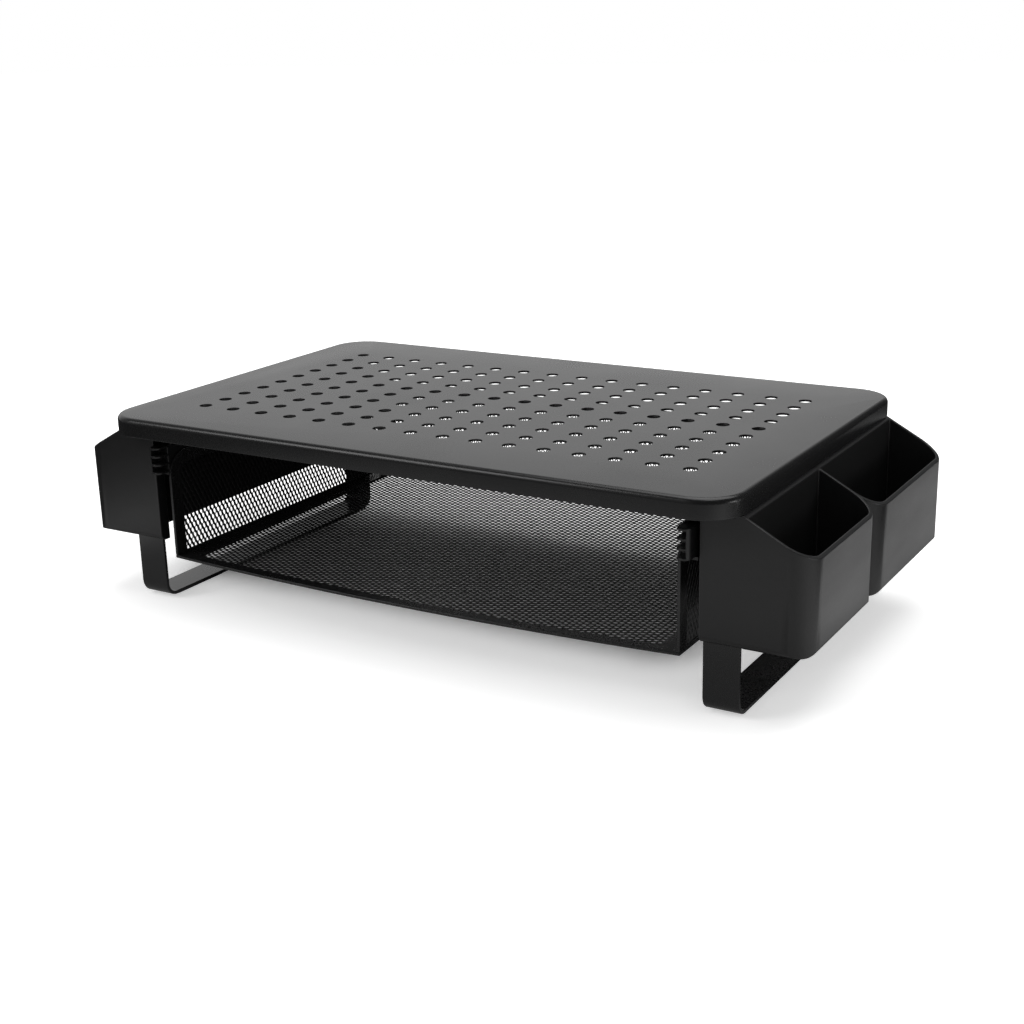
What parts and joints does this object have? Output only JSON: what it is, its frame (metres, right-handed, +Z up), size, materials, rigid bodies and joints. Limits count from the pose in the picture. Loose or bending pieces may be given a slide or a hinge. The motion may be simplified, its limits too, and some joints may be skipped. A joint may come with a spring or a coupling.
{
  "type": "monitor stand",
  "caption": "Perforated steel monitor stand on bent strip legs, with a mesh drawer sliding out underneath and pen holders with slanted mouths at the sides.",
  "frame": {"origin": "on the desk, under the centre of the top plate", "axes": "+X to the right seen from the front, +Y to the rear, +Z up"},
  "size_m": [0.4346, 0.235, 0.11],
  "materials": {
    "painted_steel": "fine satin black powder coat",
    "mesh_steel": "satin black powder coat on expanded mesh",
    "holder_plastic": "matte black moulded plastic with a fine grain",
    "runner_plastic": "smooth black moulded plastic",
    "zinc": "bright zinc plate",
    "pad_rubber": "matte black foam rubber"
  },
  "bodies": {
    "stand": {"top_plate": "painted_steel", "plate_studs": "zinc", "left_leg": "painted_steel", "right_leg": "painted_steel", "leg_washers": "zinc", "leg_nuts": "zinc", "left_foot_pads": "pad_rubber", "right_foot_pads": "pad_rubber", "left_pen_holder": "holder_plastic", "right_pen_holder": "holder_plastic", "left_guide_rail": "painted_steel", "right_guide_rail": "painted_steel", "rail_stop_pins": "zinc"},
    "drawer": {"drawer_floor_frame": "painted_steel", "drawer_left_frame": "painted_steel", "drawer_right_frame": "painted_steel", "drawer_back_frame": "painted_steel", "drawer_floor_mesh": "mesh_steel", "drawer_left_mesh": "mesh_steel", "drawer_right_mesh": "mesh_steel", "drawer_back_mesh": "mesh_steel", "left_runner": "runner_plastic", "right_runner": "runner_plastic", "runner_rivets": "painted_steel"}
  },
  "joints": [
    {"name": "drawer_slide", "type": "slide", "parent": "stand", "child": "drawer", "axis": [0, -1, 0], "range_m": [0, 0.118]}
  ]
}
